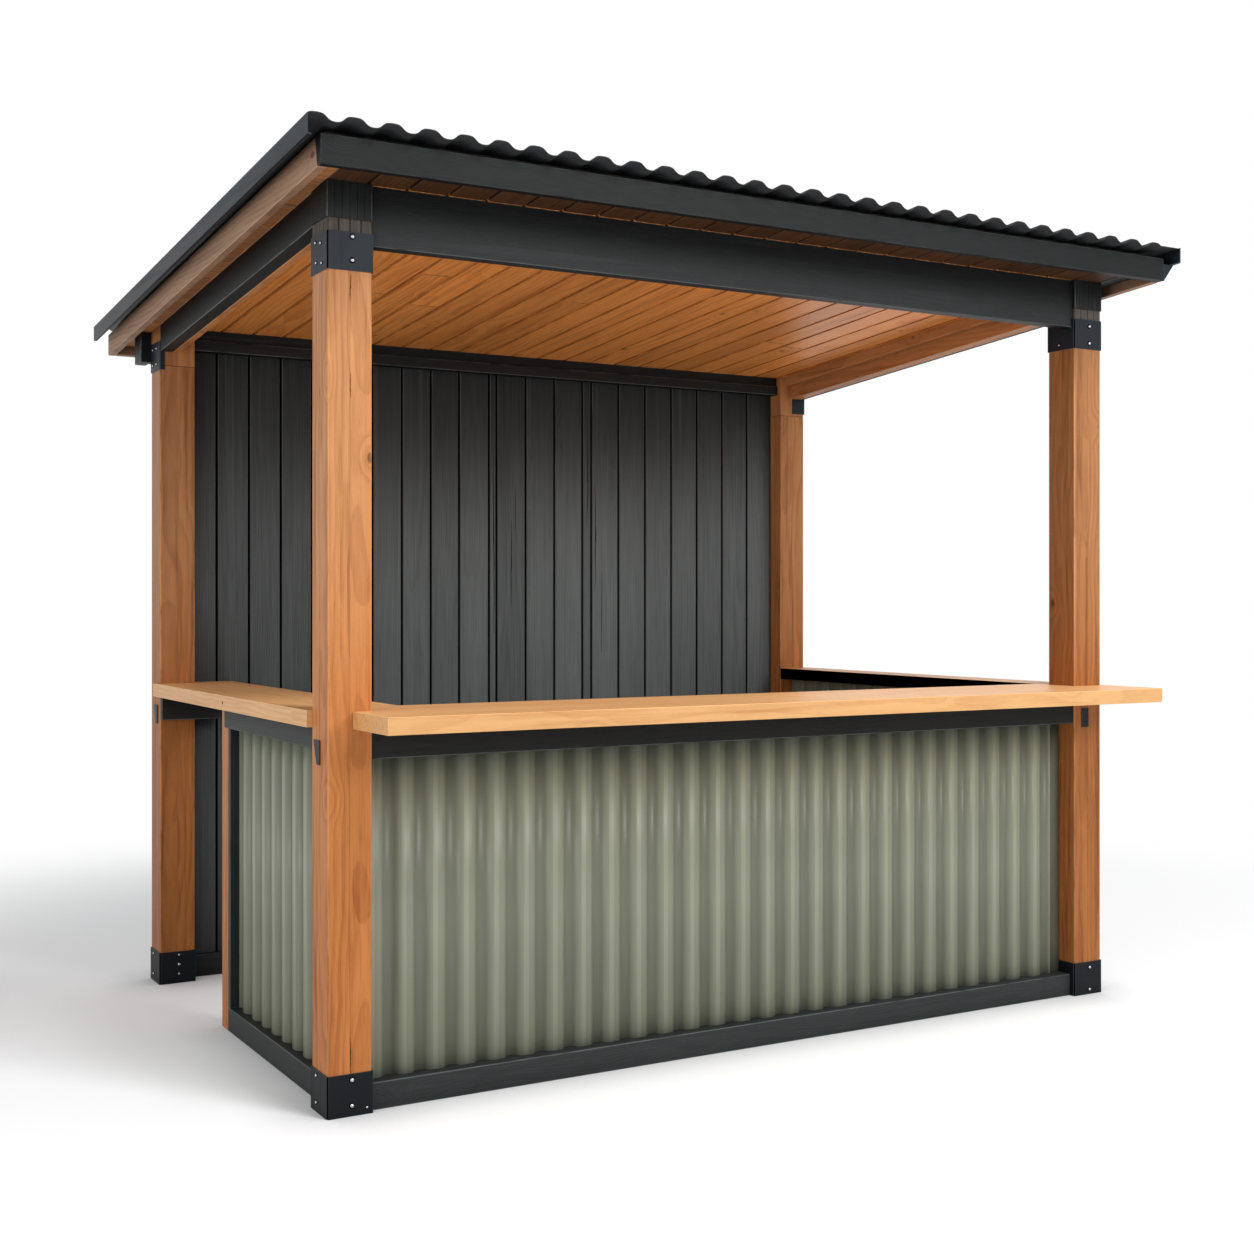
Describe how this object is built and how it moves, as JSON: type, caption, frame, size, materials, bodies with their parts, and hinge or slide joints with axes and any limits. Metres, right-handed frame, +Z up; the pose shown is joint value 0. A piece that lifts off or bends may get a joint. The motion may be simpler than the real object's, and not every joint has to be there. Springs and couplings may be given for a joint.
{
  "type": "garden bar",
  "caption": "Open garden bar: square timber posts in steel shoes, low mono-pitch wavy metal roof, boarded rear wall, and a timber counter on three sides over wavy metal fronts.",
  "frame": {"origin": "on level ground, under the middle of the overall outline (roof flashings left to right, front counter edge to rear roof edge)", "axes": "+Z up, the serving front faces -Y, +X is the right-hand side seen from the front; the longest side runs along X"},
  "size_m": [3.001, 2.364, 2.5012],
  "materials": {
    "cedar_posts": "planed, oiled cedar with open grain",
    "doorway_stud_cedar": "planed cedar",
    "steel_fittings": "blue-black satin coated steel with bright bolt heads",
    "charcoal_timber": "charcoal stained timber, matt",
    "cedar_beams": "planed, oiled cedar",
    "ceiling_cedar": "tongued boards, satin",
    "charcoal_boards": "upright boards in charcoal stain, grain showing, satin",
    "barge_cedar": "planed cedar boards",
    "counter_timber": "smooth honey timber, satin oil",
    "sage_metal": "sage paint, satin",
    "roof_metal": "black coated steel, satin",
    "flashing_metal": "dark blue-grey coated steel",
    "sawn_battens": "rough sawn, dark"
  },
  "bodies": {
    "root": {"front_left_post": "cedar_posts", "front_right_post": "cedar_posts", "rear_left_post": "cedar_posts", "rear_right_post": "cedar_posts", "doorway_stud": "doorway_stud_cedar", "front_left_base_shoe": "steel_fittings", "front_right_base_shoe": "steel_fittings", "rear_left_base_shoe": "steel_fittings", "rear_right_base_shoe": "steel_fittings", "post_top_brackets": "steel_fittings", "counter_clips": "steel_fittings", "front_left_corner_block": "charcoal_timber", "front_right_corner_block": "charcoal_timber", "front_beam": "charcoal_timber", "left_beam": "charcoal_timber", "rear_beam": "charcoal_timber", "rear_outriggers": "charcoal_timber", "right_beam_cladding": "charcoal_timber", "front_fascia": "charcoal_timber", "front_base_rail": "charcoal_timber", "left_base_rail": "charcoal_timber", "right_base_rail": "charcoal_timber", "front_apron": "charcoal_timber", "left_apron": "charcoal_timber", "right_apron": "charcoal_timber", "doorway_jamb": "charcoal_timber", "left_counter_cleat": "charcoal_timber", "rear_wall_header": "charcoal_timber", "rear_wall_rail": "charcoal_timber", "left_beam_lining": "cedar_beams", "right_beam": "cedar_beams", "ceiling_ledgers": "cedar_beams", "ceiling_boards": "ceiling_cedar", "eave_soffits": "ceiling_cedar", "rear_wall_boards": "charcoal_boards", "left_barge_board": "barge_cedar", "right_barge_board": "barge_cedar", "rear_fascia": "barge_cedar", "front_counter": "counter_timber", "left_counter": "counter_timber", "right_counter": "counter_timber", "front_sheet": "sage_metal", "left_sheet": "sage_metal", "right_sheet": "sage_metal", "roof_sheet": "roof_metal", "left_roof_flashing": "flashing_metal", "right_roof_flashing": "flashing_metal", "right_flashing_gusset": "flashing_metal", "roof_purlins": "sawn_battens"}
  },
  "joints": []
}
